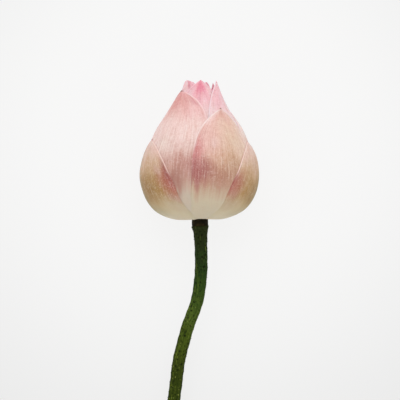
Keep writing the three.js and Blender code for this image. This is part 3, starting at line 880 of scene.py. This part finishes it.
def lay_petal(petal):
    """Makes a petal's piece, from the values of its row and the petals laid before it, and lays it. It ends
    where the outline, past the bud's underside, is as high as its tip."""
    along, height = petal["outline"]["along"], petal["outline"]["height"]
    rising = along > along[-1] / 3
    petal["length"] = float(np.interp(petal["tip"], height[rising], along[rising]))
    petal["rim"] = rim_line(petal)
    columns, rows = petal.get("grid", PETAL_GRID)
    points, fields, inside = petal_blade(petal, columns, rows)
    ring = 2 * columns
    faces = tube_faces(rows, ring)
    left = np.arange(columns - 1)
    last = (rows - 1) * ring
    faces += np.stack([left + 1, left, ring - 1 - left, ring - 2 - left], -1).tolist()
    faces += (last + np.stack([left, left + 1, ring - 2 - left, ring - 1 - left], -1)).tolist()
    laid_petals.append(petal)
    name = petal["node"] + "_blade"
    skin = petal_skin(name + "_skin", petal, len(laid_petals) * PATTERN_STEP)
    blade, to_tip = fields[..., :3].reshape(-1, 3), fields[..., 3].ravel()
    add_piece(name, points, faces, skin, petal["node"],
              {"blade": blade, "to_tip": to_tip, "inner_face": inside.ravel()})


def lay_petals(petals, slot, **shared):
    """Lays the petals of a group, each with the values of its row over those that the group shares."""
    for petal in petals:
        lay_petal({**shared, **petal})


# Colours along the blade, from the claw to the tip.
OLIVE_TAN = [
    (0.0, "d6c8ae"), (0.3, "d3c3a3"), (0.4, "c9b189"), (0.52, "b6935f"), (0.64, "bd9a6c"),
    (0.76, "d6b496"), (0.88, "e6c5b4"), (1.0, "f0cfc8"),
]
BLUSHED = [
    (0.0, "d6c8ae"), (0.34, "d4c4aa"), (0.45, "c49f88"), (0.52, "c1957d"), (0.63, "d9b397"),
    (0.75, "e8c8b0"), (0.86, "eec9b6"), (0.95, "ecbaae"), (1.0, "f5ccc8"),
]
PINK = [
    (0.0, "dccfba"), (0.34, "cfbdaa"), (0.44, "c9a292"), (0.52, "cfa397"), (0.6, "e8c7bf"),
    (0.68, "f6d6d0"), (0.78, "f6d1cb"), (0.87, "efbbb6"), (0.94, "e4a5a1"), (1.0, "eeb0b2"),
]

# Each petal has the azimuth of its middle in degrees, the turn of that middle at the tip, the height of the
# tip, the half width, how pointed it is, its ramp, the reach of its tip's dark speck, and its patches, each
# the place of its middle across and along, its two radii, strength and colour.
SHEATH_PETALS = [
    dict(node="petal_outer_left", azimuth=-83.5, tip_turn=10, turn_power=4, tip=48.4, half_width=37,
         point=0.7, ramp=OLIVE_TAN, speck=0.9, rim_highlight_colour="ffdccf", patches=[
        # Of these, a05c58 along the right rim is partly the rim's own deep rose and partly painted shade, and
        # a3946f, b8a088 and 898152 near the middle line are painted shade where the bud's side turns from the
        # light.
        (0.25, 0.52, 0.5, 0.2, 0.8, "a07e4a"), (1.0, 0.62, 0.38, 0.18, 0.85, "b97167"),
        (0.97, 0.71, 0.11, 0.16, 0.75, "a05c58"), (1.0, 0.9, 0.5, 0.12, 0.6, "ecc4ba"),
        (1.0, 0.4, 0.5, 0.12, 0.55, "d0c0aa"), (0.25, 0.32, 0.4, 0.1, 0.5, "a3946f"),
        (-0.1, 0.76, 0.3, 0.18, 0.6, "b8a088"), (0.95, 0.49, 0.2, 0.06, 0.45, "cba59c"),
        (0.0, 0.4, 0.24, 0.36, 0.6, "898152"), (0.75, 0.7, 0.14, 0.06, 0.45, "dcbeb2"),
    ]),
    dict(node="petal_outer_right", azimuth=85, tip_turn=-13, turn_power=6, tip=47.4, half_width=33.5,
         point=0.72, ramp=OLIVE_TAN, speck=0.9, rim_highlight_colour="ffdccf", patches=[
        # Of these, a8625a along the left rim is partly the rim's own deep rose and partly painted shade, and
        # a8966f and 898152 near the middle line are painted shade where the bud's side turns from the light.
        (-0.15, 0.5, 0.5, 0.2, 0.85, "9b7d48"), (-1.0, 0.6, 0.38, 0.17, 0.85, "b97468"),
        (-1.0, 0.66, 0.1, 0.15, 0.6, "a8625a"), (-1.0, 0.88, 0.6, 0.12, 0.6, "ecc8ba"),
        (-1.0, 0.42, 0.55, 0.12, 0.4, "c6b4a4"), (-0.3, 0.3, 0.45, 0.12, 0.4, "a8966f"),
        (-0.3, 0.77, 0.3, 0.1, 0.35, "c39f82"), (-0.85, 0.52, 0.15, 0.06, 0.4, "c8a092"),
        (0.0, 0.4, 0.24, 0.36, 0.6, "898152"),
    ]),
    dict(node="petal_outer_back", azimuth=180, tip=60, half_width=34, point=0.75, rests=True, ramp=OLIVE_TAN,
         patches=[(0.9, 0.62, 0.4, 0.16, 0.7, "b6766c"), (-0.9, 0.66, 0.3, 0.16, 0.6, "b6766c")]),
    dict(node="petal_front_right", azimuth=32, tip_turn=11, tip=66.4, half_width=25, point=0.6, sharp=8.0,
         keen=0.45, ramp=BLUSHED, speck=1.1, patches=[
        (-0.9, 0.76, 1.0, 0.26, 0.8, "efc0bb"), (-0.5, 0.5, 0.7, 0.1, 0.25, "b97f74"),
        (-1.0, 0.67, 0.36, 0.18, 0.8, "d18586"), (-0.9, 0.54, 0.55, 0.12, 0.8, "ac6967"),
        (0.4, 0.54, 0.65, 0.11, 0.6, "cfb095"), (1.0, 0.77, 0.6, 0.2, 0.75, "f6dad2"),
        (-0.9, 0.92, 0.5, 0.08, 0.7, "ffe0de"), (-0.1, 0.96, 0.3, 0.06, 0.4, "d9a79a"),
        (0.35, 0.68, 0.4, 0.09, 0.45, "f2d8c8"), (-0.45, 0.72, 0.18, 0.06, 0.4, "f4d8d4"),
    ]),
    dict(node="petal_front_left", azimuth=-50, tip_turn=-18, tip=77.9, half_width=37, point=0.61,
         sharp=1.8, ramp=PINK, speck=1.6, rim_highlight_colour="ffd6d6", patches=[
        (0.9, 0.49, 0.5, 0.1, 0.7, "bd8780"), (0.9, 0.86, 0.6, 0.1, 0.6, "f3c3c3"),
        (-0.4, 0.6, 0.5, 0.1, 0.7, "f6dcd3"), (0.0, 0.43, 0.4, 0.08, 0.6, "b98f82"),
        (0.12, 0.62, 0.24, 0.1, 0.6, "f6dcd2"), (0.05, 0.92, 0.33, 0.11, 0.65, "e29896"),
        (1.0, 0.94, 0.16, 0.08, 0.8, "ffdcdf"), (0.82, 0.905, 0.17, 0.04, 0.6, "dc969e"),
        # aa7468 on the next line is painted shade in the crease along the left outer petal's rim.
        (0.45, 0.4, 0.22, 0.11, 0.8, "aa7468"), (-0.05, 0.875, 0.25, 0.05, 0.45, "e29e98"),
        (0.03, 0.82, 0.25, 0.05, 0.35, "e6b2aa"),
    ]),
    dict(node="petal_back_right", azimuth=124, tip=72, half_width=34, point=0.8, ramp=BLUSHED,
         patches=[(-0.8, 0.85, 0.5, 0.25, 0.8, "fbe4e0"), (0.7, 0.6, 0.4, 0.15, 0.6, "bf857b")]),
    dict(node="petal_back_left", azimuth=-142, tip=76, half_width=35, point=0.75, ramp=PINK,
         patches=[(0.6, 0.9, 0.6, 0.08, 0.5, "e4a3a1"), (-0.5, 0.5, 0.5, 0.1, 0.6, "bd8780")]),
]
lay_petals(SHEATH_PETALS, "outer_petal", outline=bud_outline, sharp=2.2, speck=0.8)

# ---- crown petals ----
# The seven petals whose tips make the bud's mouth: softer and pinker than the sheath, and deepest pink at the
# tip. They grow from the neck as the others do. The one on the right flares a little off the bud.

CROWN = [
    (0.0, "d6c8b0"), (0.4, "e2c8b8"), (0.6, "f5d0cb"), (0.75, "ffdfde"), (0.86, "ffcad0"),
    (0.94, "fab2bf"), (1.0, "ee97aa"),
]
CROWN_PETALS = [
    dict(node="petal_crown_right", azimuth=72, tip=83.1, half_width=32, point=0.92, sharp=0.8, flare=1.4,
         rim_highlight_colour="ffe2e5",
         patches=[(-0.3, 0.96, 1.0, 0.11, 0.85, "fecad1"), (0.2, 0.84, 0.6, 0.12, 0.5, "fad8d8")]),
    dict(node="petal_crown_front", azimuth=4.5, tip=83.6, half_width=33, point=0.8, speck=0.5,
         rim_highlight_colour="ffccd4", patches=[
        (0.8, 0.92, 0.5, 0.09, 0.8, "fcdcdf"), (-0.8, 0.92, 0.5, 0.05, 0.6, "fcd8dc"),
        (-0.08, 0.885, 0.14, 0.05, 0.5, "e59dab"), (0.0, 0.955, 0.45, 0.05, 0.9, "ea869e"),
    ]),
    dict(node="petal_crown_left", azimuth=-76, tip_turn=14, tip=83.8, half_width=33, point=0.55, sharp=0.3,
         rim_highlight_colour="ffd6da", patches=[
        (0.0, 0.93, 1.2, 0.12, 0.85, "ffd8dc"), (0.5, 0.97, 0.15, 0.03, 0.8, "d98296"),
        (1.0, 0.965, 0.3, 0.035, 0.6, "f4a0b4"),
    ]),
    dict(node="petal_crown_back", azimuth=178, tip=82.5, half_width=32,
         patches=[(0.0, 0.95, 0.5, 0.05, 0.8, "ea869e")]),
    dict(node="petal_crown_back_right", azimuth=110, tip=83.0, half_width=30, sharp=0.6,
         grid=SMALL_GRID, patches=[(-1.0, 0.96, 0.5, 0.1, 0.8, "ffb4c6")]),
    dict(node="petal_crown_back_left", azimuth=-132, tip=83.2, half_width=30, sharp=0.5, grid=SMALL_GRID),
    dict(node="petal_inner_left", azimuth=-30, tip=82.9, half_width=28, point=0.8, sharp=0.6,
         grid=SMALL_GRID, patches=[(0.0, 0.96, 0.9, 0.06, 0.7, "ffc4ce")]),
]
lay_petals(CROWN_PETALS, "inner_petal", outline=bud_outline, sharp=1.5, point=0.9, ramp=CROWN,
           translucence=0.4)

# ---- heart petals ----
# The three petals inside the crown, of the same soft pink skin. They follow the same outline up to their
# shoulders, and then lean further in over the middle.

HEART_OUTLINE = [*BUD_OUTLINE[:10], [20.2, 62], [14.3, 69.5], [9.4, 77], [6.0, 85.5]]
HEART_PETALS = [
    dict(node="petal_heart_right", azimuth=50, tip=83.1, half_width=29, point=0.72, sharp=0.3),
    dict(node="petal_heart_back", azimuth=168, tip=81, half_width=26),
    dict(node="petal_heart_left", azimuth=-76, tip=80, half_width=25),
]
lay_petals(HEART_PETALS, "inner_petal", outline=outline_of(HEART_OUTLINE), sharp=0.5, point=0.9, ramp=CROWN,
           grid=INNER_GRID)

# ---- core petals ----
# The five small innermost petals, still folded like a rosebud over the seed pod and the stamens, so that they
# close the bud's mouth. They grow from the top of the neck's petal zone by their own claws.

CORE_OUTLINE = [
    [RECEPTACLE_RADIUS + CLEARANCE, 1.8], [9, 2.8], [14, 6.5], [18.2, 12], [20.6, 20], [21.2, 29],
    [20.2, 38.5], [18, 46.5], [15.3, 54.5], [12.2, 62.5], [8.8, 69.5], [4.8, 75], [2.2, 78.5], [1.1, 81.6],
]
CORE_PETALS = [
    dict(node="petal_core_right", azimuth=95, tip=78.4),
    dict(node="petal_core_left", azimuth=-60, tip=79.2),
    dict(node="petal_core_back", azimuth=-170, tip=80),
    dict(node="petal_core_front", azimuth=20, tip=80.8),
    dict(node="petal_core_middle", azimuth=-105, tip=81.4),
]
laid_petals.clear()
lay_petals(CORE_PETALS, "inner_petal", outline=outline_of(CORE_OUTLINE), half_width=23, sharp=0.4, point=0.65,
           ramp=CROWN, grid=INNER_GRID)
